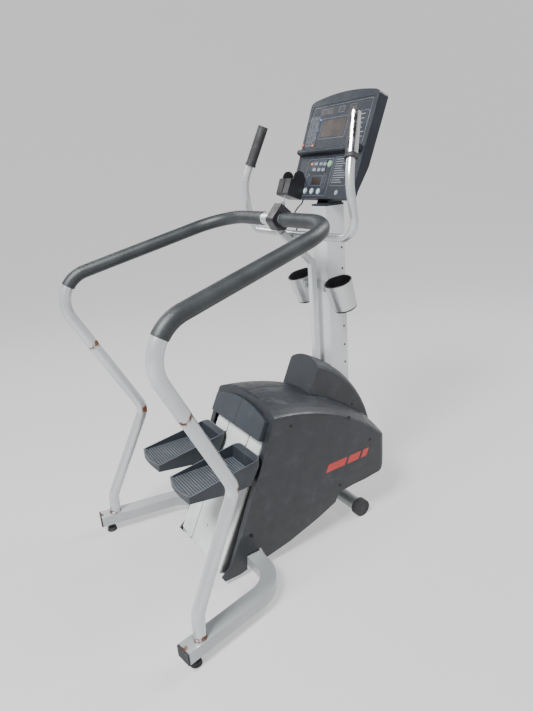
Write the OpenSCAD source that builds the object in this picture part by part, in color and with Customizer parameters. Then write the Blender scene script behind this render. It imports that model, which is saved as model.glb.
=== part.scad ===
// Stair climber: two independent pedals on an inclined track, a housing with
// the drive inside, a mast with a console, and a wrap-round handrail.
// Origin: centre of the footprint on the floor. +Y points at the console,
// +X to the user's right, +Z up. All sizes in millimetres.

/* [Base frame] */
// Distance across the outer edges of the two rear feet
foot_span = 800; // [790:5:810]
// Width of the flat base tube
base_w = 50; // [48:1:52]
// Height of the flat base tube
base_h = 38; // [36:1:40]
// Angle by which the rear feet spread, from straight back
foot_splay = 10.4; // [9:0.2:11]
// Diameter of the front stabiliser tube
stabiliser_d = 51; // [50:1:54]
// Width of the square mast
mast_w = 76; // [70:1:78]

/* [Handrail] */
// Outside diameter of the side tubes below the joints
side_tube_d = 38; // [36:1:38]
// Outside diameter of the handrail tube
rail_d = 40; // [40:1:41]
// Outside diameter of the foam on the handrail
foam_d = 44; // [43:1:46]
// Wall thickness of the round tubes
tube_wall = 2.5; // [2:0.5:3]
// Outside diameter of the upright hand grips' tube
horn_d = 25.4; // [25:0.1:28]
// Outside diameter of the grip sleeves
grip_d = 35; // [34:1:38]

/* [Pedals] */
// Width of a pedal
pedal_w = 145; // [140:1:146]
// Length of a pedal
pedal_l = 265; // [255:1:265]
// Angle of the pedal track from vertical
track_lean = 27; // [26.5:0.5:27.5]

/* [Housing] */
// Width of the housing
housing_w = 364; // [360:1:368]
// Wall thickness of the housing shells
shell_t = 3; // [2.5:0.5:3.5]
// Rise of the housing's top from its edges to its middle
crown = 40; // [34:1:42]

/* [Console] */
// Width of the console at its top
console_w = 334; // [330:1:338]
// Lean of the console, from vertical
console_lean = 22; // [21:0.5:23]
// Thickness of the console at its top
console_t = 38; // [36:1:40]

/* [Cups] */
// Outside diameter of a cup's rim
cup_d = 95; // [92:1:96]
// Height of a cup
cup_h = 100; // [95:1:104]
// Lean of the cups towards the user
cup_lean = 18; // [16:1:20]

/* [Hidden] */
$fn = 48;

steel = "gainsboro";
graphite = "dimgray";
rubber = [0.12, 0.12, 0.13];
running = 0.05;            // radial clearance of running fits
seam = 0.3;                // gap between bodies that face each other
swell = 0.4;               // how much thicker a bent length of tube is than a straight one

// Base frame
base_z = 56;               // height of the base tube's centre
base_top = base_z + base_h / 2;
cap_t = 6;                 // thickness of a foot tube's end cap
foot_x = foot_span / 2 - base_w / 2 * cos(foot_splay) - cap_t * sin(foot_splay);
foot_y = -463;
cross_y = -115;            // the tube across the machine, under the housing
foot_bend_r = 100;
corner_x = foot_x - (cross_y - foot_y) * tan(foot_splay);
foot_path = [[foot_x, foot_y, base_z], [corner_x, cross_y, base_z],
             [-corner_x, cross_y, base_z], [-foot_x, foot_y, base_z]];
stabiliser_y = 365;
stabiliser_z = 33;
stabiliser_half = 167;
mast_y = 388;
mast_foot_z = 40;
mast_top_z = 1135;

// Handrail and side tubes
side_foot = [365, -411, base_top + 2.2];
side_bend = [361, -405, 150];
knee = [338, -243, 468];
rail_rear = [412, -476, 958];
rail_front = [315, 172, 1114];
joint_z = 735;
rail_rear_r = 107;
rail_front_r = 150;
knee_r = 60;
foam_start = 60;           // how far round the rear bend the foam begins, degrees
box_x = [3, 42];           // ends of the receiver box on the crossbar

// Hand grips and the arm that carries them
horn_mid = [0, 240, 1058];
horn_low = [287, 258, 1058];
horn_high = [282, 239, 1221];
horn_end = [237, 306, 1399];
arm_path = [[0, 310, 430], [0, 310, 956], [0, 172, 1092]];
arm_w = 20;

// Track: local X is the machine's X, local Y points into the housing and
// local Z runs up the track from the bottom edge of its panels
track_foot = [0, -232, 50];
panel_t = 3;
panel_l = 548;
centre_half = 64.5;
strip_in = 69.5;
strip_out = 144;
channel_y = panel_t + seam;
channel_t = 3;
wheel_r = 14;
channel_gap = 2 * wheel_r + 0.6;
wheel_y = channel_y + channel_t + channel_gap / 2;
channel_depth = channel_gap + 2 * channel_t;
channel_l = 508;
lane = 112;                // middle of each carriage, from the machine's middle
carriage_z = 300;          // bottom of a carriage at rest
carriage_l = 130;
travel = 280;              // of a pedal down the track; it rests at the top
arm_in = 67;
arm_out = 154.5;
chain_y = 52;
sprocket_r = 35;
shaft_z = 480;             // up the track
shaft_y = chain_y + sprocket_r;
shaft_r = 10;
idler_r = 18;
idler_z = 90;

// Housing: its top is a barrel, turned about a line across the machine
side_half = housing_w / 2;
barrel_c = [-64, -194];    // Y and Z of that line
barrel_r = 730;            // at the housing's side edges
edge_r = 9;                // rounding between the top and the sides
crown_r = (side_half * side_half + crown * crown) / (2 * crown);

// Cover round the foot of the mast: another barrel
cover_c = [85, 234];
cover_r = 412;
cover_half = 80;
cover_rise = 25;

// Console: local X across, local Z up the face, local -Y out of the face
console_foot = [0, 349, 1160];
console_bottom_half = 160;
console_side_h = 329;      // up to the top corners
console_arch = 18;
console_bottom_t = 22;
shelf_z = 160;

// Cups
cup_x = 104;
cup_rim = [cup_x, 335, 897];
cup_wall = 2;

// Routes of the two leads, from exit to exit
lead_d = 3;
lead_route = [[-118, 298, 1172.6], [-114, 292, 1163], [-100, 283, 1152], [-80, 268, 1140],
              [-56, 250, 1129], [-30, 231, 1128], [-4, 214, 1139], [14, 202, 1152],
              [27, 192, 1162], [35, 183, 1166], [38, 178, 1161.8]];
cable_d = 5;
cable_route = [[-100, 361.7, 1153.9], [-103, 356, 1141], [-107, 341, 1128], [-95, 319, 1112],
               [-58, 297, 1092], [-30, 280, 1075], [-21, 267, 1062], [-17, 260, 1050],
               [-8, 257, 1039], [2, 253.5, 1028.5]];

// ---------- general shapes ----------

function unit(v) = v / norm(v);
function rev(v) = [for (i = [len(v) - 1:-1:0]) v[i]];
function flip_x(p) = [-p.x, p.y, p.z];
function both(p) = concat(p, [for (q = rev(p)) flip_x(q)]);

module place(p, x, y) {
  z = cross(x, y);
  multmatrix([[x.x, y.x, z.x, p.x], [x.y, y.y, z.y, p.y], [x.z, y.z, z.z, p.z]]) children();
}

// A 2D child swept along a straight line; its Y is as near vertical as it can be
module straight(a, b) {
  d = unit(b - a);
  x = unit(cross(abs(d.z) < 0.95 ? [0, 0, 1] : [0, 1, 0], d));
  place(a, x, cross(d, x)) linear_extrude(norm(b - a)) children();
}

function turn_at(p, i) = acos(unit(p[i] - p[i - 1]) * unit(p[i + 1] - p[i]));
function trim_at(p, r, i) = (i == 0 || i == len(p) - 1) ? 0 : r[i] * tan(turn_at(p, i) / 2);
function inward_at(p, i) =
  let (u = unit(p[i] - p[i - 1]), w = unit(p[i + 1] - p[i])) unit(w - (w * u) * u);

module bend_at(p, r, i) {
  u = unit(p[i] - p[i - 1]);
  n = inward_at(p, i);
  place(p[i] - trim_at(p, r, i) * u + r[i] * n, -n, u)
    rotate_extrude(angle = turn_at(p, i), $fn = 96) translate([r[i], 0]) children();
}

// A bar along a path of straights and round bends. The bends are a hair thicker
// than the straights, whose ends reach a millimetre into them. Section: a round
// bar's diameter, or a flat bar's [width, height]
module swept_bar(p, r, section) {
  last = len(p) - 1;
  for (i = [0:last - 1]) {
    u = unit(p[i + 1] - p[i]);
    a = p[i] + (i == 0 ? 0 : trim_at(p, r, i) - 1) * u;
    b = p[i + 1] - (i == last - 1 ? 0 : trim_at(p, r, i + 1) - 1) * u;
    straight(a, b) bar_section(section, 0);
  }
  for (i = [1:last - 1]) bend_at(p, r, i) bar_section(section, swell);
}

module bar_section(section, more) {
  if (is_list(section)) square([section.x + more, section.y + more], center = true);
  else circle(d = section + more);
}

module swept_tube(p, r, section, wall) {
  last = len(p) - 1;
  longer = [for (i = [0:last]) p[i] + (i == 0 ? unit(p[0] - p[1]) : i == last
    ? unit(p[last] - p[last - 1]) : [0, 0, 0])];
  bore = is_list(section) ? [section.x - 2 * wall, section.y - 2 * wall] : section - 2 * wall;
  difference() {
    swept_bar(p, r, section);
    swept_bar(longer, r, bore);
  }
}

module ring(d, wall) {
  difference() {
    circle(d = d);
    circle(d = d - 2 * wall);
  }
}

module frame_section(w, h, wall) {
  difference() {
    square([w, h], center = true);
    square([w - 2 * wall, h - 2 * wall], center = true);
  }
}

module mirrored() {
  children();
  mirror([1, 0, 0]) children();
}

module along_x(r, l) {
  rotate([0, 90, 0]) cylinder(r = r, h = l, center = true);
}

module tube_x(r_out, r_in, l) {
  rotate([0, 90, 0]) difference() {
    cylinder(r = r_out, h = l, center = true);
    cylinder(r = r_in, h = l + 2, center = true);
  }
}

// A YZ outline extruded across the machine, centred on X = 0
module slab_x(w) {
  rotate([90, 0, 90]) linear_extrude(w, center = true) children();
}

module rounded(size, r) {
  translate([r, r]) square(size - [2 * r, 0]);
  translate([0, r]) square(size - [0, 2 * r]);
}

module on_track() {
  translate(track_foot) rotate([-track_lean, 0, 0]) children();
}

module on_console() {
  translate(console_foot) rotate([-console_lean, 0, 0]) children();
}

// Cord: one smooth tube of eight sides along the points of a route
function bezier_pt(p, t) =
  let (n = len(p) - 1, k = min(floor(t * n), n - 1), f = t * n - k,
       a = p[max(k - 1, 0)], b = p[k], c = p[k + 1], d = p[min(k + 2, n)])
  0.5 * ((2 * b) + (c - a) * f + (2 * a - 5 * b + 4 * c - d) * f * f
         + (3 * b - a - 3 * c + d) * f * f * f);

module cord(route, d, rings) {
  sides = 8;
  c = [for (i = [0:rings]) bezier_pt(route, i / rings)];
  dirs = [for (i = [0:rings]) unit(c[min(i + 1, rings)] - c[max(i - 1, 0)])];
  pts = [for (i = [0:rings])
    let (x = unit(cross(dirs[i], [1, 0.3, 0.1])), y = cross(dirs[i], x))
    for (s = [0:sides - 1]) c[i] + d / 2 * (x * cos(360 * s / sides) + y * sin(360 * s / sides))];
  walls = [for (i = [0:rings - 1]) for (s = [0:sides - 1])
    [i * sides + s, (i + 1) * sides + s, (i + 1) * sides + (s + 1) % sides, i * sides + (s + 1) % sides]];
  ends = [[for (s = [0:sides - 1]) s], [for (s = [sides - 1:-1:0]) rings * sides + s]];
  polyhedron(pts, concat(walls, ends), convexity = 4);
}

// ---------- base frame ----------

module rear_foot_tube() {
  color(steel) difference() {
    swept_tube(foot_path, [0, foot_bend_r, foot_bend_r, 0], [base_w, base_h], 3);
    mirrored() foot_at(30) cylinder(r = 5.2, h = base_z);
  }
}

// A place on the right foot tube's centre line, a distance from its end
module foot_at(d) {
  translate([foot_x - d * sin(foot_splay), foot_y + d * cos(foot_splay), 0]) children();
}

module end_caps() {
  color(rubber) {
    mirrored() translate([foot_x, foot_y, base_z]) rotate([0, 0, foot_splay]) {
      translate([0, -cap_t / 2 - 0.1, 0]) cube([base_w, cap_t - 0.2, base_h], center = true);
      translate([0, 7, 0]) cube([base_w - 8, 14.4, base_h - 8], center = true);
    }
    mirrored() translate([0, stabiliser_y, stabiliser_z]) difference() {
      translate([stabiliser_half - 10, 0, 0]) along_x(stabiliser_z, 26);
      translate([stabiliser_half - 14.85, 0, 0]) along_x(stabiliser_d / 2 + 0.1, 30.3);
    }
  }
}

module levelling_feet() {
  mirrored() foot_at(30) {
    color(rubber) cylinder(r1 = 18, r2 = 15, h = 14);
    color("silver") {
      translate([0, 0, 14]) cylinder(r = 5, h = 50);
      translate([0, 0, 26]) cylinder(r = 9, h = 7, $fn = 6);
    }
  }
}

module front_stabiliser() {
  color(steel) translate([0, stabiliser_y, stabiliser_z])
    tube_x(stabiliser_d / 2, stabiliser_d / 2 - 3, 2 * stabiliser_half);
}

module base_spine() {
  spine_front = mast_y - mast_w / 2 - seam;
  spine_rear = cross_y + base_w / 2 + seam;
  color(steel) difference() {
    translate([0, (spine_front + spine_rear) / 2, base_z]) rotate([90, 0, 0])
      linear_extrude(spine_front - spine_rear, center = true) frame_section(60, base_h, 3);
    translate([0, stabiliser_y, stabiliser_z]) along_x(stabiliser_d / 2 + seam, 100);
  }
}

module mast() {
  color(steel) difference() {
    translate([0, mast_y, mast_foot_z]) linear_extrude(mast_top_z - mast_foot_z)
      frame_section(mast_w, mast_w, 3);
    translate([0, stabiliser_y, stabiliser_z]) along_x(stabiliser_d / 2 + seam, 100);
  }
}

// ---------- handrail and hand grips ----------

joint_at = knee + (joint_z - knee.z) / (rail_rear.z - knee.z) * (rail_rear - knee);
rail_up = unit(rail_rear - knee);

module side_tubes() {
  path = [side_foot, side_bend, knee, joint_at - rail_up * seam];
  color(steel) mirrored() {
    swept_tube(path, [0, 80, knee_r, 0], side_tube_d, tube_wall);
    straight(joint_at - rail_up * 20, joint_at + rail_up * 55)
      ring(side_tube_d - 2 * tube_wall + 0.2, 3);
  }
}

module handrail_tube() {
  path = [joint_at, rail_rear, rail_front];
  radii = [0, rail_rear_r, rail_front_r];
  color(steel) swept_tube(both(path), concat(radii, rev(radii)), rail_d, tube_wall);
}

module handrail_foam() {
  color("darkslategray") {
    foam_length(48);
    mirror([1, 0, 0]) foam_length(56);
  }
}

// One side's foam, from the rear bend to a place on the crossbar
module foam_length(end_x) {
  p = [joint_at, rail_rear, rail_front];
  u = unit(p[1] - p[0]);
  w = unit(p[2] - p[1]);
  n = inward_at(p, 1);
  turn = turn_at(p, 1);
  rest = rail_rear_r * tan((turn - foam_start) / 2);
  heading = n * sin(foam_start) + u * cos(foam_start);
  bend_end = p[1] + rail_rear_r * tan(turn / 2) * w;
  first = bend_end - rest * w - (rest + 0.5) * heading;
  path = [first, bend_end - rest * w, rail_front, [end_x, rail_front.y, rail_front.z]];
  swept_tube(path, [0, rail_rear_r, rail_front_r, 0], foam_d, (foam_d - rail_d) / 2 - 0.15);
}

// Faceted box clamped round the crossbar, with a collar on its right
module receiver_box() {
  color(rubber) translate([0, rail_front.y, rail_front.z]) difference() {
    union() {
      translate([box_x[0], 0, 0]) rotate([90, 0, 90]) linear_extrude(box_x[1] - box_x[0])
        polygon([[2, 49], [-36, 8], [-37, -2], [-18, -32], [10, -34], [32, -14], [36, 20]]);
      translate([box_x[1] - 1, 0, 0]) rotate([0, 90, 0]) cylinder(r = 24, h = 5);
    }
    along_x(rail_d / 2 + 0.1, 200);
  }
}

module support_arm() {
  color(steel) difference() {
    swept_square(arm_path, arm_w);
    translate([0, rail_front.y, rail_front.z]) {
      along_x(rail_d / 2 + 0.5, 60);
      translate([box_x[0] + 24.7, 0, 0]) along_x(52, 50);
    }
  }
}

// Square tube with one sharp mitred bend, in the plane X = 0
module swept_square(p, w) {
  a = atan2(p[1].y - p[2].y, p[2].z - p[1].z);
  m = w / 2 * tan(a / 2);
  lean = [0, -sin(a), cos(a)];
  side = [0, cos(a), sin(a)];
  q = p[2];
  outline = [
    [p[0].y - w / 2, p[0].z], [p[0].y + w / 2, p[0].z], [p[1].y + w / 2, p[1].z + m],
    [q.y + side.y * w / 2, q.z + side.z * w / 2], [q.y - side.y * w / 2, q.z - side.z * w / 2],
    [p[1].y - w / 2, p[1].z - m]];
  difference() {
    slab_x(w) polygon(outline);
    translate([0, p[0].y, p[0].z - 1]) linear_extrude(p[1].z - p[0].z) square(w - 4, center = true);
  }
}

// The bar bends forward a little in the middle, so it is swept from there outwards
module horn_tube() {
  mid = [flip_x(horn_low), horn_mid, horn_low];
  color(steel) swept_tube(concat([flip_x(horn_end), flip_x(horn_high)], mid, [horn_high, horn_end]),
    [0, 150, 61, 200, 61, 150, 0], horn_d, tube_wall);
}

grip_dir = unit(horn_end - horn_high);
grip_from = horn_high + 62 * grip_dir;
grip_len = norm(horn_end - grip_from) + 4;

// Right grip's own frame: local Z up the grip, local X outwards
module on_grip() {
  x = unit(cross([0.2, 1, 0], grip_dir));
  place(grip_from, x, cross(grip_dir, x)) children();
}

module grip_sleeves() {
  color(rubber) mirrored() on_grip() difference() {
    union() {
      cylinder(d = grip_d, h = grip_len);
      cylinder(d = grip_d + 3, h = 8);
    }
    translate([0, 0, -1]) cylinder(r = horn_d / 2 + 0.1, h = grip_len - 3);
    translate([0, 0, 12]) plate_shell(grip_d / 2 - 1, grip_d, grip_len - 20.4, 62);
  }
}

// Part of a round shell that faces outwards, over plus and minus an angle
module plate_shell(r_in, r_out, h, half_angle) {
  rotate([0, 0, -half_angle]) rotate_extrude(angle = 2 * half_angle)
    translate([r_in, 0]) square([r_out - r_in, h]);
}

module pulse_plates() {
  color("silver") mirrored() on_grip() translate([0, 0, 12.2])
    plate_shell(grip_d / 2 - 0.9, grip_d / 2 + 0.6, grip_len - 20.8, 61);
}

// ---------- console ----------

module console_neck() {
  color(steel) {
    translate([0, mast_y, mast_top_z + 3.2]) cube([mast_w, mast_w, 6], center = true);
    difference() {
      slab_x(60) polygon([[350, mast_top_z + 6.4], [426, mast_top_z + 6.4], [430, 1200], [424, 1216],
        [412, 1200]]);
      on_console() translate([0, console_bottom_t - 30, 100]) cube([400, 60.6, 400], center = true);
      slab_x(50) polygon([[362, mast_top_z + 9.4], [420, mast_top_z + 9.4], [422, 1188],
        [410, 1186]]);
    }
  }
}

// Outline of the console's face: straight sides, rounded corners, arched top
module console_outline(inset) {
  b = console_bottom_half - inset;
  t = console_w / 2 - inset;
  h = console_side_h - inset;
  r = 14;
  arch_r = (t * t + console_arch * console_arch) / (2 * console_arch);
  cut = 9;
  polygon(concat(
    [for (a = [180:15:270]) [-b + r + r * cos(a), inset + r + r * sin(a)]],
    [for (a = [270:15:360]) [b - r + r * cos(a), inset + r + r * sin(a)]],
    [[t, h - cut], [t - cut / 3, h - cut / 3]],
    [for (i = [9:-1:-9]) let (x = i / 10 * t)
      [x, h + console_arch - arch_r + sqrt(arch_r * arch_r - x * x)]],
    [[-t + cut / 3, h - cut / 3], [-t, h - cut]]));
}

module console_wedge(back) {
  slab_x(500) polygon([[-60, -20], [console_bottom_t - back, -20],
    [console_bottom_t - back, 30], [console_t - back, 110], [console_t - back, 500], [-60, 500]]);
}

module console_prism(inset, from, to) {
  translate([0, to, 0]) rotate([90, 0, 0]) linear_extrude(to - from) console_outline(inset);
}

face_t = 6;

module console_back() {
  color(graphite) on_console() difference() {
    intersection() {
      console_prism(0, face_t + seam, console_t + 1);
      console_wedge(0);
    }
    intersection() {
      console_prism(3, face_t - 1, console_t);
      console_wedge(3);
    }
  }
}

key_specs = [[15, 114, 9], [-160, 184, 6], [-83, 26, 8], [-47, 25, 8], [-11, 24, 8]];
key_travel = 0.8;

module console_face() {
  color(graphite) on_console() difference() {
    union() {
      console_prism(0, 0, face_t);
      // reading ledge
      rotate([90, 0, 90]) linear_extrude(2 * console_bottom_half - 6, center = true)
        polygon([[1, shelf_z - 16], [1, shelf_z], [-16, shelf_z + 3], [-20, shelf_z - 1],
          [-20, shelf_z - 8], [-16, shelf_z - 12]]);
    }
    for (z = [[shelf_z + 5, console_side_h - 15], [9, shelf_z - 22]])
      translate([0, 1.2, z[0]]) rotate([90, 0, 0]) linear_extrude(4)
        translate([-console_bottom_half + 9, 0]) square([2 * console_bottom_half - 18, z[1] - z[0]]);
    display_cut(main_window, 0.2);
    display_cut(small_window, 0.2);
    for (k = key_specs) translate([k[0], 7, k[1]]) rotate([90, 0, 0])
      cylinder(r = k[2] + 0.3, h = 10);
  }
}

main_window = [-75, 206, 117, 54];
small_window = [-61, 48, 48, 23];

module display_cut(w, gap) {
  translate([w[0] - gap, face_t + 1, w[1] - gap]) rotate([90, 0, 0])
    linear_extrude(face_t + 2) square([w[2] + 2 * gap, w[3] + 2 * gap]);
}

module display_windows() {
  color([0.25, 0.2, 0.18]) on_console() for (w = [main_window, small_window])
    translate([w[0], 5, w[1]]) rotate([90, 0, 0]) linear_extrude(4) square([w[2], w[3]]);
}

// Membrane keys: raised domes on a thin plate, without travel of their own
module number_pad() {
  color([0.2, 0.22, 0.26]) on_console() {
    pad_plate(-150, 176, 54, 104);
    for (i = [0:2], j = [0:4]) translate([-141 + i * 17, 0.4, 190 + j * 19])
      rotate([90, 0, 0]) cylinder(r = 5.5, h = 1);
    pad_plate(-76, 88, 74, 40);
    for (i = [0:3]) translate([-66 + i * 18, 0.4, 118]) rotate([90, 0, 0]) cylinder(r = 6, h = 1);
    for (i = [0:2]) translate([-58 + i * 20, 0.4, 100]) rotate([90, 0, 0]) cylinder(r = 6, h = 1);
    for (x = [-84, 4]) {
      pad_plate(x - 9, 38, 18, 44);
      for (z = [49, 71]) translate([x, 0.4, z]) rotate([90, 0, 0]) cylinder(r = 6, h = 1);
    }
  }
}

module pad_plate(x, z, w, h) {
  translate([x, 1.1, z]) rotate([90, 0, 0]) linear_extrude(0.8) square([w, h]);
}

module key(k, shade) {
  color(shade) on_console() translate([k[0], 4.5, k[1]]) rotate([90, 0, 0]) {
    cylinder(r = k[2], h = 5.6);
    translate([0, 0, 5.5]) cylinder(r = k[2] - 1, h = 0.6);
  }
}

module key_go() { key(key_specs[0], "limegreen"); }
module key_stop() { key(key_specs[1], "red"); }
module key_quick_left() { key(key_specs[2], "darkseagreen"); }
module key_quick_mid() { key(key_specs[3], "lightblue"); }
module key_quick_right() { key(key_specs[4], "darkseagreen"); }

module control_board() {
  color("darkgreen") on_console() {
    translate([0, 12.4, 240]) cube([250, 1.6, 120], center = true);
    translate([-20, 12.4, 78]) cube([180, 1.6, 110], center = true);
    translate([60, 15.3, 250]) cube([30, 4, 30], center = true);
    translate([-60, 15.3, 250]) cube([20, 4, 14], center = true);
  }
}

// Holder for a small device, on the console's lower left corner: two ears, a low
// front wall with a slit for the lead, a floor and a back plate
cradle_x = -128.5;
cradle_w = 69;

module device_cradle() {
  color(rubber) on_console() translate([cradle_x, 0, 0]) difference() {
    slab_x(cradle_w) polygon(concat([[-0.5, 62], [-0.5, -6], [-52, -6]],
      [for (a = [255:-15:180]) [-52 + 8 * cos(a), 2 + 8 * sin(a)]], [[-60, 50], [-52, 51], [-50, 60]],
      [for (a = [180:-15:30]) [-28 + 22 * cos(a), 62 + 22 * sin(a)]]));
    translate([-cradle_w / 2 + 5, -55, -1]) cube([cradle_w - 10, 50, 100]);
    translate([-cradle_w / 2 + 5, -20, 50.5]) cube([cradle_w - 10, 30, 50]);
    translate([-2.5, -70, 4]) cube([5, 20, 60]);
  }
}

module cradle_lead() { color(rubber) cord(lead_route, lead_d, 30); }
module console_cable() { color(rubber) cord(cable_route, cable_d, 32); }

// ---------- cups ----------

module on_cup(side) {
  translate([side * cup_x, cup_rim.y, cup_rim.z]) rotate([cup_lean, 0, 0]) children();
}

// Tapered cup, open at the top; local Z = 0 is the rim
module cup_shell(side) {
  r = cup_d / 2;
  color("silver") on_cup(side) rotate_extrude()
    polygon([[0, -cup_h + 6], [r - 7.2, -cup_h + 6], [r - 0.5, -3], [r, -1.5], [r, 0],
      [r - cup_wall, 0], [r - cup_wall - 7, -cup_h + 8], [0, -cup_h + 8]]);
}

module cup_left() { cup_shell(-1); }
module cup_right() { cup_shell(1); }

// Soft liner inside each cup and the ring under it
module cup_liners() {
  r = cup_d / 2 - cup_wall;
  color(rubber) for (side = [-1, 1]) on_cup(side) {
    rotate_extrude() polygon([[0, -cup_h + 8.3], [r - 7.4, -cup_h + 8.3], [r - 0.4, 1],
      [r - 3, 1], [r - 9.8, -cup_h + 11], [0, -cup_h + 11]]);
    translate([0, 0, -cup_h]) cylinder(r1 = r - 7, r2 = r - 5, h = 5.7);
  }
}

// Bar across the rear of the mast with an ear for each cup
module cup_bracket() {
  y = mast_y - mast_w / 2 - seam;
  color(steel) {
    translate([-54, y - 4, 855]) cube([108, 4, 30]);
    mirrored() difference() {
      translate([50, 313, 858]) cube([4, y - 313, 24]);
      translate([52, 325, 870]) along_x(4.2, 12);
    }
  }
}

// ---------- housing ----------

// Side outline of the housing, in Y and Z, before the barrel cuts its top
module side_outline(inset) {
  i = inset;
  polygon(concat(
    [[-205 + i * 1.1, 60], [12 + i * 1.2, 560 - i], [12, 620], [480, 620]],
    [[481 - i, 312]],
    [for (a = [-12:-12:-72]) [428 - i + 32 * cos(a), 202 + i + 32 * sin(a)]],
    [[300, 161 + i], [250, 158 + i], [232, 122 + i], [150, 88 + i], [30, 50 + i],
     [-66, 32 + i], [-84, 84 + i], [-143, 84 + i], [-143, 22 + i], [-170, 16 + i],
     [-228 + i, 18 + i], [-236 + i, 34]]));
}

// Half of the barrel's section: X across, Y is the distance from its axis
module barrel_half(half, r_side, rise, round_r, inset) {
  r = (half * half + rise * rise) / (2 * rise);
  h = half - inset;
  polygon(concat(
    [[0, 0], [h, 0], [h, r_side - round_r - inset]],
    [for (a = [10:20:70]) [h - round_r + round_r * cos(a), r_side - inset - round_r + (round_r + 2) * sin(a)]],
    [for (k = [8:-1:0]) let (x = k / 8 * (h - round_r))
      [x, r_side + rise - r + sqrt(r * r - x * x) - inset]]));
}

module barrel(half, centre, r_side, rise, round_r, inset) {
  translate([0, centre.x, centre.y]) rotate([0, 90, 0]) {
    rotate_extrude($fn = 180) rotate(-90) mirror([1, 0])
      barrel_half(half, r_side, rise, round_r, inset);
    mirror([0, 0, 1]) rotate_extrude($fn = 180) rotate(-90) mirror([1, 0])
      barrel_half(half, r_side, rise, round_r, inset);
  }
}

// Plan outline: the nose is bowed and its corners are rounded
module plan_outline(inset) {
  h = side_half - inset;
  polygon(concat(
    [[-h, -300], [h, -300]],
    [for (a = [0:15:75]) [h - 32 + 32 * cos(a), 444 - inset + 32 * sin(a)]],
    [for (k = [6:-1:-6]) let (x = k / 6 * (h - 34)) [x, 481 - inset - 8 * x * x / (h * h)]],
    [for (a = [105:15:180]) [-h + 32 + 32 * cos(a), 444 - inset + 32 * sin(a)]]));
}

// Lower band: below the crease the sides lean inwards
module band_section(inset) {
  h = side_half - inset;
  polygon([[-h + 16, 0], [-h + 4, 163], [-h, 166], [-h, 700], [h, 700], [h, 166],
    [h - 4, 163], [h - 16, 0]]);
}

module housing_solid(inset) {
  intersection() {
    slab_x(housing_w + 2) side_outline(inset);
    barrel(side_half, barrel_c, barrel_r, crown, edge_r, inset);
    linear_extrude(700) plan_outline(inset);
    rotate([90, 0, 0]) linear_extrude(1200, center = true) band_section(inset);
  }
}

module housing_shell() {
  difference() {
    housing_solid(0);
    housing_solid(shell_t);
    // the rear is open for the track, the bottom is open between the sides
    on_track() translate([0, 25, 0]) rotate([90, 0, 0]) linear_extrude(110) arch_outline(-1, -100);
    slab_x(2 * side_half - 60) polygon([[-300, -10], [430, -10], [430, 190], [-60, 190], [-180, 190]]);
    // way through for the mast and the support arm, under the mast cover
    translate([0, 362, 500]) cube([110, 160, 300], center = true);
    // way through for the tube across the machine
    translate([0, cross_y, base_z]) cube([500, base_w + 3, base_h + 3], center = true);
  }
}

module shell_half(side) {
  color(graphite) intersection() {
    housing_shell();
    translate([side * (200 + seam), 100, 350]) cube([400, 1000, 800], center = true);
  }
}

module side_shell_left() { shell_half(-1); }
module side_shell_right() { shell_half(1); }

// Arched covers over the top end of the track, hollow towards the housing
cover_bottom = 451;        // up the track, where the panels come into view
arch_half = 158;
arch_top = 545;

module rear_cover(side) {
  color(graphite) on_track() intersection() {
    difference() {
      translate([0, -2, 0]) rotate([90, 0, 0]) linear_extrude(26) arch_outline(0, cover_bottom);
      translate([0, -1, 0]) rotate([90, 0, 0]) linear_extrude(24) arch_outline(3, cover_bottom + 3);
    }
    translate([side * (100 + 0.5), 0, 520]) cube([200, 80, 200], center = true);
  }
}

module arch_outline(inset, bottom) {
  h = arch_half - inset;
  r = crown_r;
  polygon(concat(
    [[-h, bottom], [h, bottom]],
    [for (k = [8:-1:-8]) let (x = k / 8 * h) [x, arch_top - inset - r + sqrt(r * r - x * x)]]));
}

module rear_cover_left() { rear_cover(-1); }
module rear_cover_right() { rear_cover(1); }

module cover_outline(inset) {
  i = inset;
  polygon([[203 + i * 1.1, 500], [272 + i * 1.1, 643], [290, 700], [500, 700],
    [500, 300], [380, 300], [203 + i * 1.1, 420]]);
}

module cover_solid(inset) {
  intersection() {
    slab_x(300) cover_outline(inset);
    barrel(cover_half, cover_c, cover_r, cover_rise, 8, inset);
  }
}

module mast_cover() {
  color(graphite) difference() {
    cover_solid(0);
    cover_solid(shell_t);
    translate([0, barrel_c.x, barrel_c.y]) housing_top_cut();
    translate([0, mast_y, 300]) linear_extrude(500) square(mast_w + 3, center = true);
    translate([0, arm_path[0].y, 300]) linear_extrude(500) square(arm_w + 3, center = true);
  }
}

// Everything under the housing's top, kept a little clear of it
module housing_top_cut() {
  translate([0, -barrel_c.x, -barrel_c.y])
    barrel(side_half + 60, barrel_c, barrel_r + 0.6 - crown * 0.76, crown * 1.76, 20, 0);
}

// ---------- track ----------

module track_centre_panel() {
  color("lightgray") on_track() difference() {
    translate([-centre_half, 0, 0]) cube([2 * centre_half, panel_t, panel_l]);
    translate([0, 1, 82]) rotate([90, 0, 0]) cylinder(r = 4, h = 10, center = true);
    translate([0, 1, 442]) rotate([90, 0, 0]) cylinder(r = 4, h = 10, center = true);
  }
}

module track_strips() {
  color("lightgray") on_track() mirrored() difference() {
    translate([strip_in, 0, 0]) cube([strip_out - strip_in, panel_t, panel_l]);
    translate([(strip_in + strip_out) / 2, 1, 30]) rotate([90, 0, 0])
      cylinder(r = 2.5, h = 10, center = true);
  }
}

// Four channels; each pair faces the carriage between them
module guide_channels() {
  color(steel) on_track() mirrored() {
    channel(75.5, 1);
    channel(148.5, -1);
  }
}

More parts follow.
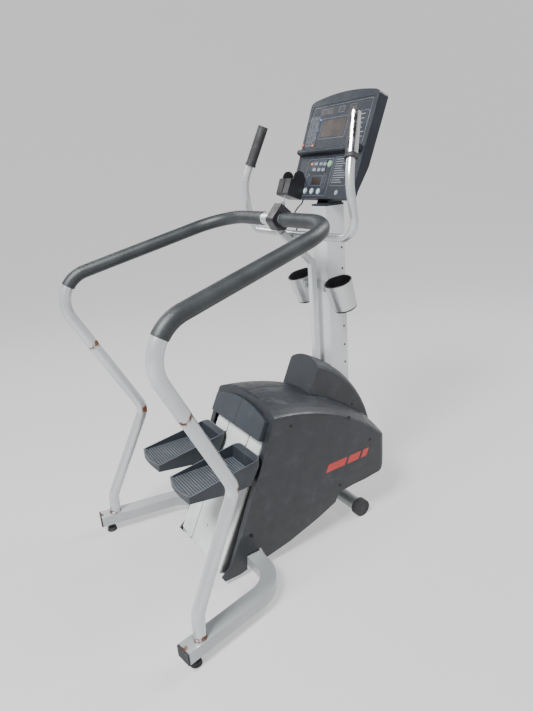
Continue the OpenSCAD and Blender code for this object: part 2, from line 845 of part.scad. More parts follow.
module channel(web_x, side) {
  translate([web_x, channel_y, 0]) scale([side, 1, 1]) linear_extrude(channel_l) polygon([
    [0, 0], [14, 0], [14, channel_t], [channel_t, channel_t],
    [channel_t, channel_depth - channel_t], [14, channel_depth - channel_t],
    [14, channel_depth], [0, channel_depth]]);
}

// ---------- drive ----------

plate_x = 58;              // inner face of a drive plate, from the middle
plate_t = 4;
shaft_at = [0, track_foot.y + shaft_y * cos(track_lean) + shaft_z * sin(track_lean),
            track_foot.z - shaft_y * sin(track_lean) + shaft_z * cos(track_lean)];
pulley_big_r = 72;
alternator_at = [0, 262, 250];
rotor_pulley_r = 16;
bearing_r = 16;

module drive_frame() {
  color(steel) {
    // side plates from the track to the mast, with the shaft's bearing seats
    mirrored() difference() {
      translate([plate_x + plate_t / 2, 0, 0]) slab_x(plate_t) polygon([
        [-8, 476], [30, 500], [150, 480], [300, 436], [420, 355], [420, 330], [300, 180],
        [220, 180], [150, 300], [40, 360], [-14, 400]]);
      translate(shaft_at) along_x(bearing_r + 0.1, 400);
      translate(alternator_at) along_x(47, 400);
    }
    // spacers that join the plates to the mast
    mirrored() for (z = [310, 355]) translate([mast_w / 2 + (plate_x - mast_w / 2) / 2, mast_y, z])
      along_x(8, plate_x - mast_w / 2);
    // feet that join the channels to the tube across the machine
    mirrored() on_track() for (x = [84, 140]) translate([x, 0, 0]) slab_x(5)
      polygon([[4, -12], [38, -12], [87.4, 29.8], [70.2, 63.8], [44, 0], [4, 0]]);
    // brackets and pins for the chains' lower wheels
    mirrored() on_track() {
      translate([lane - 9, 0, 0]) slab_x(4)
        polygon([[71, 64.6], [112, 85.4], [88, 104], [62, 98], [60, 80]]);
      translate([lane - 0.5, chain_y + idler_r, idler_z]) along_x(5, 17);
    }
    // bridge between the plates that carries the support arm
    translate([0, arm_path[0].y, arm_path[0].z - 20.3]) cube([2 * plate_x, 26, 40], center = true);
    // bars from the plates across the tops of the channels
    mirrored() on_track() translate([16, channel_y + 5, channel_l + 0.3]) cube([134, 30, 16]);
  }
}

module drive_shaft() {
  color("silver") translate(shaft_at) along_x(shaft_r, 250);
}

module step_up_pulley() {
  color("silver") translate(shaft_at) difference() {
    union() {
      tube_x(pulley_big_r, pulley_big_r - 8, 18);
      tube_x(pulley_big_r - 6, shaft_r + 6, 5);
      tube_x(22, shaft_r + 0.1, 24);
    }
    along_x(shaft_r + 0.1, 60);
    for (a = [0:60:300]) rotate([a, 0, 0]) translate([0, 0, 42]) along_x(11, 40);
  }
}

module bearings() {
  color("silver") {
    mirrored() translate(shaft_at + [plate_x + 2, 0, 0])
      tube_x(bearing_r, shaft_r + running, 10);
    for (s = [-1, 1]) translate(alternator_at + [s * 40 - 10, 0, 0]) tube_x(11, 5 + running, 8);
  }
}

// Toothed wheel with its one-way clutch ring in the bore
module sprocket(side) {
  teeth = 30;
  color("slategray") translate(shaft_at + [side * lane, 0, 0]) {
    rotate([90, 0, 90]) linear_extrude(6, center = true) difference() {
      union() {
        circle(r = sprocket_r - 4);
        for (i = [0:teeth - 1]) rotate(i * 360 / teeth) translate([sprocket_r - 5, 0])
          polygon([[0, -2.2], [3.4, -1], [3.4, 1], [0, 2.2]]);
      }
      circle(r = 18.1);
    }
    tube_x(18, shaft_r + running, 16);
  }
}

module sprocket_left() { sprocket(-1); }
module sprocket_right() { sprocket(1); }

module idler(side) {
  color("slategray") on_track() translate([side * lane, chain_y + idler_r, idler_z]) {
    tube_x(idler_r - 1.4, 5 + running, 10);
  }
}

module idler_left() { idler(-1); }
module idler_right() { idler(1); }

// Closed loop round a sprocket and its idler
module drive_chains() {
  color([0.3, 0.3, 0.32]) on_track() mirrored() translate([lane, 0, 0]) slab_x(8) difference() {
    loop_outline(1.2);
    loop_outline(-1.2);
  }
}

// The loop's outline: two circles joined by their outer tangents
module loop_outline(grow) {
  r1 = sprocket_r + grow;
  r2 = idler_r + grow;
  c1 = [shaft_y, shaft_z];
  c2 = [chain_y + idler_r, idler_z];
  d = norm(c1 - c2);
  along = unit(c1 - c2);
  tilt = asin((r1 - r2) / d);
  base = atan2(along.y, along.x);
  polygon(concat(
    [for (i = [0:18]) let (a = base - 90 - tilt + (180 + 2 * tilt) * i / 18) c1 + r1 * [cos(a), sin(a)]],
    [for (i = [0:12]) let (a = base + 90 + tilt + (180 - 2 * tilt) * i / 12) c2 + r2 * [cos(a), sin(a)]]));
}

// Flat spiral springs beside the sprockets, which carry the pedals back up
module return_springs() {
  turns = 4;
  steps = 24 * turns;
  pitch = 3;
  color("silver") mirrored() translate(shaft_at + [lane + 16, 0, 0]) slab_x(8) polygon(concat(
    [for (i = [0:steps]) spiral_pt(19 + pitch * i / 24, i * 15)],
    [for (i = [steps:-1:0]) spiral_pt(20 + pitch * i / 24, i * 15)]));
}
function spiral_pt(r, a) = r * [cos(a), sin(a)];

module drive_belt() {
  r1 = pulley_big_r + 0.4;
  r2 = rotor_pulley_r + 0.4;
  c1 = [shaft_at.y, shaft_at.z];
  c2 = [alternator_at.y, alternator_at.z];
  color(rubber) slab_x(12) difference() {
    belt_outline(c1, r1 + 2, c2, r2 + 2);
    belt_outline(c1, r1, c2, r2);
  }
}

module belt_outline(c1, r1, c2, r2) {
  d = norm(c1 - c2);
  along = unit(c1 - c2);
  tilt = asin((r1 - r2) / d);
  base = atan2(along.y, along.x);
  polygon(concat(
    [for (i = [0:24]) let (a = base - 90 - tilt + (180 + 2 * tilt) * i / 24) c1 + r1 * [cos(a), sin(a)]],
    [for (i = [0:16]) let (a = base + 90 + tilt + (180 - 2 * tilt) * i / 16) c2 + r2 * [cos(a), sin(a)]]));
}

module alternator() {
  color("slategray") translate(alternator_at) difference() {
    union() {
      translate([-10, 0, 0]) tube_x(46, 38, 88);
      for (x = [-52, 32]) translate([x, 0, 0]) tube_x(40, 11.1, 4);
    }
    translate([0, 0, 0]) cube([24, 100, 100], center = true);
  }
}

module alternator_rotor() {
  color("silver") translate(alternator_at) {
    difference() {
      union() {
        tube_x(rotor_pulley_r, 5 - 1, 16);
        translate([20, 0, 0]) tube_x(34, 4, 10);
        translate([-30, 0, 0]) tube_x(34, 4, 30);
      }
    }
    translate([-10, 0, 0]) along_x(5, 110);
  }
}

// ---------- pedals ----------

pedal_x0 = 42;
pedal_front = [-62, 420];  // Y and Z of the rim at the front
pedal_rise = 7.5;          // slope of the rim, degrees
pedal_depth = 85;
pedal_taper = 8;

// Local X across, local Y forward from the front rim, local Z up
module on_pedal(side) {
  translate([side * (pedal_x0 + pedal_w / 2), pedal_front.x, pedal_front.y]) children();
}

// Side outline of the tub: front wall parallel to the track
module pedal_side(inset) {
  rise = pedal_l * tan(pedal_rise);
  fall = pedal_depth * tan(track_lean);
  i = inset;
  polygon([[-i * 1.1, 0], [-fall - i * 1.1, -pedal_depth + i], [-fall - 60, -pedal_depth + i],
    [-pedal_l + 10 + i, -rise - 24 + i], [-pedal_l + i, -rise - 16], [-pedal_l + i, -rise]]);
}

// Plan outline of the tub: bowed rear edge, rounded front corners
module pedal_plan(inset) {
  h = pedal_w / 2 - inset;
  r = 22;
  polygon(concat(
    [for (a = [0:15:90]) [h - r + r * cos(a), -r - inset + r * sin(a)]],
    [for (a = [90:15:180]) [-h + r + r * cos(a), -r - inset + r * sin(a)]],
    [for (k = [-6:6]) let (x = k / 6 * h) [x, -pedal_l + inset + 12 * x * x / (h * h)]]));
}

module pedal(side) {
  rise = pedal_l * tan(pedal_rise);
  t = 4;
  color(graphite) on_pedal(side) difference() {
    intersection() {
      slab_x(pedal_w + 2) pedal_side(0);
      translate([0, 0, -150]) linear_extrude(200) pedal_plan(0);
      rotate([90, 0, 0]) linear_extrude(700, center = true) polygon([
        [-pedal_w / 2, 10], [pedal_w / 2, 10], [pedal_w / 2, -20],
        [pedal_w / 2 - pedal_taper, -90], [-pedal_w / 2 + pedal_taper, -90], [-pedal_w / 2, -20]]);
    }
    // foot space: from the tread up
    intersection() {
      slab_x(pedal_w - 2 * t) polygon([[-24, 20], [-28, -44], [-pedal_l + 6, -rise - 2], [-pedal_l - 20, -rise - 1.5],
        [-pedal_l - 20, 20]]);
      translate([0, 0, -150]) linear_extrude(200) pedal_plan(t);
      translate([0, 0, -150]) linear_extrude(200) translate([0, 5]) pedal_plan(t);
    }
    // hollow underneath
    intersection() {
      slab_x(pedal_w - 2 * t) polygon([[-70, -52], [-pedal_l + 30, -rise - 9], [-pedal_l + 24, -rise - 40],
        [-70, -110]]);
      translate([0, 0, -150]) linear_extrude(200) pedal_plan(2 * t);
    }
  }
}

module pedal_left() { pedal(-1); }
module pedal_right() { pedal(1); }

// Arms, back plate and bearing block that carry one pedal
module carriage(side) {
  z0 = carriage_z;
  block_y = 9;
  color("slategray") scale([side, 1, 1]) on_track() difference() {
    union() {
      for (x = [arm_in - 1.5, arm_out - 2.5]) translate([x, 0, 0])
        rotate([90, 0, 90]) linear_extrude(x < 100 ? 3 : 5)
          polygon([[46, z0], [46, z0 + carriage_l - 20], [-16, z0 + carriage_l - 28], [-16, z0 + 30]]);
      translate([arm_in - 1.5, 42, z0]) cube([arm_out - arm_in + 4, 4, carriage_l - 20]);
      translate([lane - 17, block_y, z0]) cube([34, 36, carriage_l - 20]);
      // clamp round the chain's near strand
      translate([lane - 10, 40, z0 + carriage_l - 24]) cube([20, 20, 24]);
    }
    translate([lane, wheel_y, z0 + 80]) along_x(4 + running, 80);
    translate([lane - 5, chain_y - 2.4, z0]) cube([10, 4.8, carriage_l + 10]);
    translate([lane - 8, block_y - 1, z0 + 20]) cube([16, 30, 40]);
  }
}

module carriage_left() { carriage(-1); }
module carriage_right() { carriage(1); }

// Axle with a wheel at each end
module wheels(side) {
  color("whitesmoke") scale([side, 1, 1]) on_track() translate([lane, wheel_y, carriage_z + 80]) {
    along_x(4, 58);
    for (s = [-1, 1]) translate([s * 25, 0, 0]) along_x(wheel_r, 8);
  }
}

module wheels_left() { wheels(-1); }
module wheels_right() { wheels(1); }

// ---------- fasteners ----------

module screw(r, l) {
  cylinder(r = r, h = 2);
  translate([0, 0, -l]) cylinder(r = r / 2, h = l + 1);
}

module fasteners() {
  color([0.2, 0.2, 0.2]) {
    for (z = [442]) on_track() translate([0, -0.2, z]) rotate([90, 0, 0]) screw(3.2, 2);
    mirrored() translate([49.8, 325, 870]) rotate([0, -90, 0]) screw(7, 9);
  }
}

// ---------- assembly ----------

// The sizes above are from the middle of the base; the origin is the middle of
// the whole footprint, which the console's top makes longer
footprint_shift = -20.4;

translate([0, footprint_shift, 0]) {
  rear_foot_tube();
  end_caps();
  levelling_feet();
  front_stabiliser();
  base_spine();
  mast();
  side_tubes();
  handrail_tube();
  handrail_foam();
  receiver_box();
  support_arm();
  horn_tube();
  grip_sleeves();
  pulse_plates();
  console_neck();
  console_back();
  console_face();
  display_windows();
  number_pad();
  key_go();
  key_stop();
  key_quick_left();
  key_quick_mid();
  key_quick_right();
  device_cradle();
  cradle_lead();
  console_cable();
  cup_bracket();
  cup_left();
  cup_right();
  cup_liners();
  side_shell_left();
  side_shell_right();
  rear_cover_left();
  rear_cover_right();
  mast_cover();
  track_centre_panel();
  track_strips();
  guide_channels();
  drive_frame();
  pedal_left();
  pedal_right();
  carriage_left();
  carriage_right();
  wheels_left();
  wheels_right();
  sprocket_left();
  sprocket_right();
  idler_left();
  idler_right();
  drive_chains();
  drive_shaft();
  step_up_pulley();
  bearings();
  return_springs();
  drive_belt();
  alternator();
  alternator_rotor();
  control_board();
  fasteners();
}
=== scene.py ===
import math
import random

import bmesh
import bpy
from mathutils import Matrix, Vector


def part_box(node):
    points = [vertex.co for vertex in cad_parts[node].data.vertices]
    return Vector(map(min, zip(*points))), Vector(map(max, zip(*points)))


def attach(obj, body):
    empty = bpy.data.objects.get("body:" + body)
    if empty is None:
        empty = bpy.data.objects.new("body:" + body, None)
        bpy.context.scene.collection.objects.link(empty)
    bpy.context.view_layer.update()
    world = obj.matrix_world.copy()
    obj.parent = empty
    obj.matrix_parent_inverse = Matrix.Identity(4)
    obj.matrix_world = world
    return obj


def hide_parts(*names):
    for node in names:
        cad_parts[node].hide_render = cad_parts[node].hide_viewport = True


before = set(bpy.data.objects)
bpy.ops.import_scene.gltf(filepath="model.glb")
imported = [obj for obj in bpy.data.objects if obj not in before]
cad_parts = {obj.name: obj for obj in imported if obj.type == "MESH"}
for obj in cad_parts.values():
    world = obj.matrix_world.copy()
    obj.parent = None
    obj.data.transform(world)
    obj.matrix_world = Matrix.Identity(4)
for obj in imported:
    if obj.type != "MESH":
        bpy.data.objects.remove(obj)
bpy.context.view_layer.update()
SHIFT = -0.0204  # the CAD's footprint shift along Y, metres


# ---------- camera ----------

AZIMUTH, ELEVATION, ROLL = 58.574, 19.53, -4.682  # degrees
CAMERA_PLACE = (1.4637, -0.7943 + SHIFT, 1.2796)
LENS, SENSOR_HEIGHT = 27.21, 36  # millimetres


def make_camera():
    az, el, roll = (math.radians(a) for a in (AZIMUTH, ELEVATION, ROLL))
    back = Vector((math.sin(az) * math.cos(el), -math.cos(az) * math.cos(el), math.sin(el)))
    right = Vector((math.cos(az), math.sin(az), 0))
    up = back.cross(right)
    x = math.cos(roll) * right + math.sin(roll) * up
    y = -math.sin(roll) * right + math.cos(roll) * up
    data = bpy.data.cameras.new("camera")
    data.sensor_fit = "VERTICAL"
    data.sensor_height = SENSOR_HEIGHT
    data.lens = LENS
    data.clip_start = 0.05
    camera = bpy.data.objects.new("camera", data)
    turn = Matrix((x, y, back)).transposed().to_4x4()
    camera.matrix_world = Matrix.Translation(CAMERA_PLACE) @ turn
    bpy.context.collection.objects.link(camera)
    bpy.context.scene.camera = camera


make_camera()


# ---------- node helpers ----------

class Tree:
    """A material's node tree, with short calls for the nodes that the materials share."""

    def __init__(self, name, color, rough, metal=0.0, coat=0.0, spec=0.5):
        self.mat = bpy.data.materials.new(name)
        self.mat.use_nodes = True
        self.t = self.mat.node_tree
        self.bsdf = self.t.nodes["Principled BSDF"]
        self.bsdf.inputs["Base Color"].default_value = (*color, 1)
        self.bsdf.inputs["Roughness"].default_value = rough
        self.bsdf.inputs["Metallic"].default_value = metal
        self.bsdf.inputs["Coat Weight"].default_value = coat
        self.bsdf.inputs["Specular IOR Level"].default_value = spec
        self.coord = self.t.nodes.new("ShaderNodeTexCoord").outputs["Object"]
        self.height = None

    def node(self, kind, **props):
        n = self.t.nodes.new("ShaderNode" + kind)
        for k, v in props.items():
            setattr(n, k, v)
        return n

    def put(self, n, key, value):
        if isinstance(value, bpy.types.NodeSocket):
            self.t.links.new(value, n.inputs[key])
        else:
            n.inputs[key].default_value = value

    def noise(self, scale, detail, rough=0.55, stretch=None, seed=0.0):
        v = self.coord
        if stretch or seed:
            m = self.node("Mapping")
            self.put(m, "Vector", v)
            m.inputs["Scale"].default_value = stretch or (1, 1, 1)
            m.inputs["Location"].default_value = (seed, seed * 0.7, -seed)
            v = m.outputs[0]
        n = self.node("TexNoise")
        self.put(n, "Vector", v)
        self.put(n, "Scale", scale)
        self.put(n, "Detail", detail)
        self.put(n, "Roughness", rough)
        return n.outputs["Fac"]

    def ramp(self, fac, lo, hi, a=0.0, b=1.0):
        n = self.node("MapRange", interpolation_type="SMOOTHSTEP")
        self.put(n, "Value", fac)
        self.put(n, "From Min", lo)
        self.put(n, "From Max", hi)
        self.put(n, "To Min", a)
        self.put(n, "To Max", b)
        return n.outputs[0]

    def math(self, op, a, b):
        n = self.node("Math", operation=op)
        self.put(n, 0, a)
        self.put(n, 1, b)
        return n.outputs[0]

    def mix(self, fac, a, b):
        n = self.node("Mix", data_type="RGBA")
        self.put(n, 0, fac)
        self.put(n, 6, (*a, 1) if isinstance(a, tuple) else a)
        self.put(n, 7, (*b, 1) if isinstance(b, tuple) else b)
        return n.outputs[2]

    def near(self, points, radius):
        """1 close to any of the points, falling to 0 at the radius."""
        out = None
        for place in points:
            d = self.node("VectorMath", operation="DISTANCE")
            self.put(d, 0, self.coord)
            d.inputs[1].default_value = place
            m = self.ramp(d.outputs["Value"], radius * 0.35, radius, 1.0, 0.0)
            out = m if out is None else self.math("MAXIMUM", out, m)
        return out

    def axis(self, name):
        n = self.node("SeparateXYZ")
        self.put(n, 0, self.coord)
        return n.outputs[name]

    def color(self, c):
        self.put(self.bsdf, "Base Color", c)

    def rough(self, r):
        self.put(self.bsdf, "Roughness", r)

    def bump(self, height, strength, distance):
        n = self.node("Bump")
        self.put(n, "Height", height)
        n.inputs["Strength"].default_value = strength
        n.inputs["Distance"].default_value = distance
        if self.height:
            self.put(n, "Normal", self.height)
        self.height = n.outputs[0]
        self.put(self.bsdf, "Normal", self.height)


def scale_color(c, k):
    return tuple(min(1.0, x * k) for x in c)


def painted(name, color, rough, metal, rust=()):
    """Paint with broad tone changes and dirt, and rust close to the points in rust."""
    t = Tree(name, color, rough, metal, coat=0.2)
    broad = t.noise(5, 3)
    fine = t.noise(90, 4, seed=2)
    c = t.mix(t.ramp(broad, 0.3, 0.7), scale_color(color, 0.93), scale_color(color, 1.04))
    dirt = t.ramp(t.noise(22, 6, 0.7, seed=5), 0.60, 0.80)
    c = t.mix(t.math("MULTIPLY", dirt, 0.22), c, scale_color(color, 0.45))
    r = t.math("ADD", t.math("MULTIPLY", fine, 0.03), rough - 0.015)
    if rust:
        near = t.near(rust, RUST_REACH)
        patch = t.ramp(t.math("MULTIPLY", t.noise(55, 6, 0.72, seed=9), near), 0.31, 0.40)
        tone = t.mix(t.noise(160, 3, seed=3), (0.10, 0.042, 0.02), (0.22, 0.10, 0.05))
        c = t.mix(patch, c, tone)
        r = t.math("MAXIMUM", r, t.math("MULTIPLY", patch, 0.85))
        t.bump(patch, 0.35, 0.0006)
    t.color(c)
    t.rough(r)
    t.bump(t.noise(25, 2, seed=4), 0.02, 0.0004)
    return t.mat


def plastic(name, color, rough, grain, bump, dust_and_top_light, dust_and_top_light_color=(0.35, 0.36, 0.37), spec=0.5):
    """Moulded plastic with a fine grain, scuffs, and dust that is also a painted top light on upper faces.
    """
    t = Tree(name, color, rough, spec=spec)
    c = t.mix(t.ramp(t.noise(7, 4), 0.3, 0.7), scale_color(color, 0.9), scale_color(color, 1.1))
    patchy = t.ramp(t.noise(16, 6, 0.7, seed=4), 0.5, 0.8)
    normal = t.node("SeparateXYZ")
    t.put(normal, 0, t.node("NewGeometry").outputs["Normal"])
    # upper faces get more of the dust colour: real dust, and on the dark plastics a painted top light
    top = t.ramp(normal.outputs["Z"], 0.25, 0.95)
    amount = t.math("MULTIPLY", t.math("ADD", t.math("MULTIPLY", top, 0.6), 0.4), patchy)
    c = t.mix(t.math("MULTIPLY", amount, dust_and_top_light), c, dust_and_top_light_color)
    scuff = t.ramp(t.noise(120, 6, 0.8, stretch=(1, 0.25, 1), seed=7), 0.68, 0.76)
    c = t.mix(t.math("MULTIPLY", scuff, 0.25), c, scale_color(color, 2.2))
    t.color(c)
    t.rough(t.ramp(t.noise(30, 4, seed=8), 0.3, 0.7, rough - 0.07, rough + 0.08))
    t.bump(t.noise(grain, 2, 0.5), bump, 0.0004)
    return t.mat


def metal(name, color, rough, brushed=True):
    """Bare metal, drawn out along Z where it is brushed."""
    t = Tree(name, color, rough, 1.0)
    c = t.mix(t.noise(30, 4), scale_color(color, 0.85), scale_color(color, 1.05))
    t.color(c)
    s = (1, 1, 30) if brushed else (1, 1, 1)
    t.rough(t.ramp(t.noise(60, 3, stretch=s), 0.3, 0.7, rough - 0.08, rough + 0.12))
    t.bump(t.noise(300, 2, stretch=s), 0.05, 0.0003)
    return t.mat


def foam_material():
    """Closed-cell foam with worn patches."""
    t = Tree("foam", (0.018, 0.022, 0.024), 0.46)
    cells = t.node("TexVoronoi")
    t.put(cells, "Vector", t.coord)
    t.put(cells, "Scale", 900)
    broad = t.ramp(t.noise(14, 5, 0.6), 0.35, 0.7)
    c = t.mix(broad, (0.014, 0.017, 0.019), (0.024, 0.029, 0.031))
    worn = t.ramp(t.noise(40, 6, 0.75, seed=6), 0.6, 0.75)
    c = t.mix(t.math("MULTIPLY", worn, 0.3), c, (0.060, 0.068, 0.070))
    t.color(c)
    t.bump(cells.outputs["Distance"], 0.35, 0.0006)
    t.bump(t.noise(120, 4), 0.25, 0.0012)
    return t.mat


def metres(x, y, z):
    """A place in part.scad's millimetres, in the frame's metres."""
    return (x / 1000, y / 1000 + SHIFT, z / 1000)


RUST_REACH = 0.035  # how far from these places rust goes, metres
JOINTS = [metres(s * 378, -368.5, 735) for s in (-1, 1)]
KNEES = [metres(s * 338, -243, 468) for s in (-1, 1)]
TUBE_FEET = [metres(s * 365, -411, 78) for s in (-1, 1)]
FOOT_ENDS = [metres(s * 374, -463, 56) for s in (-1, 1)]

MATERIALS = {
    "silver": painted("silver_paint", (0.53, 0.55, 0.565), 0.25, 0.7, JOINTS + KNEES + TUBE_FEET),
    "base": painted("base_paint", (0.36, 0.38, 0.39), 0.33, 0.4, TUBE_FEET + FOOT_ENDS),
    "white": painted("white_paint", (0.52, 0.54, 0.55), 0.34, 0.3),
    "rubber": plastic("rubber", (0.018, 0.018, 0.020), 0.7, 500, 0.3, 0.3),
    "foam": foam_material(),
    "charcoal": plastic("charcoal_plastic", (0.016, 0.018, 0.022), 0.42, 1100, 0.22, 0.5,
                        (0.105, 0.12, 0.14)),
    "slate": plastic("slate_plastic", (0.019, 0.024, 0.031), 0.46, 900, 0.3, 0.4,
                     (0.10, 0.115, 0.13)),
    "light": plastic("light_plastic", (0.50, 0.525, 0.52), 0.42, 700, 0.12, 0.35,
                     (0.42, 0.43, 0.42)),
    "black": plastic("black_plastic", (0.012, 0.012, 0.014), 0.38, 800, 0.2, 0.25,
                     (0.12, 0.12, 0.12)),
    "navy": plastic("console_plastic", (0.017, 0.020, 0.027), 0.5, 900, 0.25, 0.12,
                    (0.08, 0.09, 0.11), 0.25),
    "keypad": plastic("keypad", (0.022, 0.027, 0.038), 0.4, 300, 0.05, 0.1, spec=0.35),
    "window": plastic("display", (0.022, 0.016, 0.014), 0.3, 60, 0.01, 0.04, spec=0.25),
    "cup": metal("silver_plastic", (0.62, 0.63, 0.64), 0.34),
    "green": plastic("key_green", (0.11, 0.33, 0.12), 0.35, 300, 0.1, 0.1),
    "red": plastic("key_red", (0.45, 0.03, 0.025), 0.35, 300, 0.1, 0.1),
    "pale": plastic("key_pale", (0.30, 0.42, 0.40), 0.35, 300, 0.1, 0.1),
    "chrome": metal("chrome", (0.72, 0.72, 0.74), 0.16, False),
    "steel": metal("plain_steel", (0.42, 0.42, 0.43), 0.4),
    "cast": metal("cast", (0.14, 0.14, 0.15), 0.6, False),
    "alu": metal("alu", (0.6, 0.61, 0.62), 0.35),
    "nylon": plastic("nylon", (0.7, 0.7, 0.68), 0.5, 500, 0.1, 0.2),
    "blue": plastic("key_blue", (0.05, 0.12, 0.30), 0.35, 300, 0.1, 0.1),
    "orange": plastic("key_orange", (0.55, 0.17, 0.04), 0.35, 300, 0.1, 0.1),
    "line": plastic("print_grey", (0.17, 0.19, 0.22), 0.5, 300, 0.05, 0.1, spec=0.3),
    # lighter slate for the pedals' ribs and rims: painted highlight on their edges
    "painted_highlight_slate": plastic("slate_painted_highlight", (0.075, 0.086, 0.098), 0.4, 700, 0.2, 0.45, (0.2, 0.22, 0.24)),
    "rust": plastic("rust", (0.13, 0.055, 0.028), 0.85, 500, 0.5, 0.3, (0.05, 0.03, 0.02), 0.2),
    # near-black; in the housing's seams it is painted shade in the gaps
    "hole": plastic("dark_hole", (0.006, 0.006, 0.007), 0.7, 500, 0.1, 0.05),
    "board": plastic("board", (0.02, 0.12, 0.05), 0.4, 300, 0.1, 0.1),
}

# the material of each CAD node
LOOK = {
    "rear_foot_tube": "base", "end_caps": "rubber", "levelling_feet": "rubber", "front_stabiliser": "base",
    "base_spine": "base", "mast": "white", "side_tubes": "silver", "handrail_tube": "silver",
    "handrail_foam": "foam", "receiver_box": "black", "support_arm": "white", "horn_tube": "silver",
    "grip_sleeves": "rubber", "pulse_plates": "chrome", "console_neck": "navy", "console_back": "navy",
    "console_face": "navy", "display_windows": "window", "number_pad": "keypad", "key_go": "green",
    "key_stop": "red", "key_quick_left": "pale", "key_quick_mid": "pale", "key_quick_right": "pale",
    "device_cradle": "black", "cradle_lead": "rubber", "console_cable": "rubber", "cup_bracket": "base",
    "cup_left": "cup", "cup_right": "cup", "cup_liners": "black", "side_shell_left": "charcoal",
    "side_shell_right": "charcoal", "rear_cover_left": "slate", "rear_cover_right": "slate",
    "mast_cover": "charcoal", "track_centre_panel": "light", "track_strips": "light",
    "guide_channels": "steel", "drive_frame": "base", "pedal_left": "slate", "pedal_right": "slate",
    "carriage_left": "cast", "carriage_right": "cast", "wheels_left": "nylon", "wheels_right": "nylon",
    "sprocket_left": "steel", "sprocket_right": "steel", "idler_left": "steel", "idler_right": "steel",
    "drive_chains": "steel", "drive_shaft": "steel", "step_up_pulley": "alu", "bearings": "steel",
    "return_springs": "steel", "drive_belt": "rubber", "alternator": "alu", "alternator_rotor": "steel",
    "control_board": "board", "fasteners": "chrome",
}
for name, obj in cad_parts.items():
    obj.data.materials.clear()
    obj.data.materials.append(MATERIALS[LOOK[name]])


# ---------- mesh helpers ----------

SHARP = math.radians(35)  # edges folded more than this are drawn sharp


def add_mesh(name, verts, faces, mat, body="frame", smooth=True):
    me = bpy.data.meshes.new(name)
    me.from_pydata([tuple(v) for v in verts], [], faces)
    me.validate()
    bm = bmesh.new()
    bm.from_mesh(me)
    bmesh.ops.remove_doubles(bm, verts=bm.verts, dist=1e-6)
    bmesh.ops.recalc_face_normals(bm, faces=bm.faces)
    bm.to_mesh(me)
    bm.free()
    ob = bpy.data.objects.new(name, me)
    bpy.context.collection.objects.link(ob)
    me.materials.append(MATERIALS[mat])
    if smooth:
        shade_smooth(ob)
    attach(ob, body)
    return ob


def shade_smooth(ob):
    """Smooth shading, with the sharp edges left sharp."""
    for f in ob.data.polygons:
        f.use_smooth = True
    m = ob.modifiers.new("weighted", "WEIGHTED_NORMAL")
    m.keep_sharp = True
    bm = bmesh.new()
    bm.from_mesh(ob.data)
    for e in bm.edges:
        if len(e.link_faces) == 2:
            e.smooth = e.calc_face_angle(0) < SHARP
    bm.to_mesh(ob.data)
    bm.free()


def point(x, y, z):
    return Vector(metres(x, y, z))


def wall(rows, n, closed=False):
    """Faces between rings of n points each, one ring after the other."""
    last = rows if closed else rows - 1
    return [(i * n + k, i * n + (k + 1) % n, (i + 1) % rows * n + (k + 1) % n, (i + 1) % rows * n + k)
            for i in range(last) for k in range(n)]


def caps(rows, n):
    """The faces that close the first and the last ring."""
    return [tuple(range(n - 1, -1, -1)), tuple((rows - 1) * n + k for k in range(n))]


def prism_faces(n):
    """Faces of a solid between two outlines of n points each."""
    ends = [tuple(range(n)), tuple(range(2 * n - 1, n - 1, -1))]
    return ends + [(i, (i + 1) % n, n + (i + 1) % n, n + i) for i in range(n)]


def prism(name, first, second, mat):
    """A plate between two outlines, each a list of points."""
    return add_mesh(name, first + second, prism_faces(len(first)), mat, smooth=False)


def rounded_path(points, radii, step=3.0):
    """Centreline of straights and round bends, with a point every step degrees of a bend."""
    out = [points[0]]
    for i in range(1, len(points) - 1):
        a, b, c = points[i - 1:i + 2]
        u, w = (b - a).normalized(), (c - b).normalized()
        turn = u.angle(w)
        r = radii[i]
        trim = r * math.tan(turn / 2)
        n = (w - w.dot(u) * u).normalized()
        start, centre = b - trim * u, b - trim * u + r * n
        k = max(2, int(math.degrees(turn) / step))
        for j in range(k + 1):
            t = turn * j / k
            out.append(centre - r * math.cos(t) * n + r * math.sin(t) * u)
    out.append(points[-1])
    return out


def densify(path, gap):
    """The same path with more points, about a gap apart."""
    out = [path[0]]
    for a, b in zip(path, path[1:]):
        n = max(1, int((b - a).length / gap))
        out += [a.lerp(b, (k + 1) / n) for k in range(n)]
    return out


def frames(path):
    """A direction and two cross axes at each point, turned as little as possible."""
    last = len(path) - 1
    ahead = [path[min(i + 1, last)] - path[max(i - 1, 0)] for i in range(last + 1)]
    d = [v.normalized() for v in ahead]
    x = d[0].orthogonal().normalized()
    out = []
    for t in d:
        x = (x - x.dot(t) * t).normalized()
        out.append((t, x, t.cross(x)))
    return out


def loft(name, path, radius, mat, wobble=0.0, seed=1, body="frame", seg=36):
    """Sweeps rings along a path. radius is a number, or a function of the distance along it.

    wobble is how far five seeded sine waves may push the surface in and out.
    """
    rng = random.Random(seed)
    waves = [(rng.uniform(0, 6.28), rng.uniform(8, 30), rng.uniform(0, 6.28)) for _ in range(5)]
    distance = 0.0
    previous = path[0]
    verts = []
    for q, (_, x, y) in zip(path, frames(path)):
        distance += (q - previous).length
        previous = q
        plain = radius(distance) if callable(radius) else radius
        for k in range(seg):
            a = 2 * math.pi * k / seg
            r = plain
            if wobble:
                r += wobble * sum(math.sin(pace * distance + start + (j % 3) * a + twist)
                                  for j, (start, pace, twist) in enumerate(waves)) / 5
            verts.append(q + r * (math.cos(a) * x + math.sin(a) * y))
    faces = wall(len(path), seg) + caps(len(path), seg)
    return add_mesh(name, verts, faces, mat, body)


def mirror_x(v):
    return Vector((-v.x, v.y, v.z))


def on_side(side, points):
    """The points as they are for the right side, 1, or mirrored for the left side, -1."""
    return points if side > 0 else [mirror_x(v) for v in points]


SIDES = ((1, "right"), (-1, "left"))


# ---------- tubes ----------

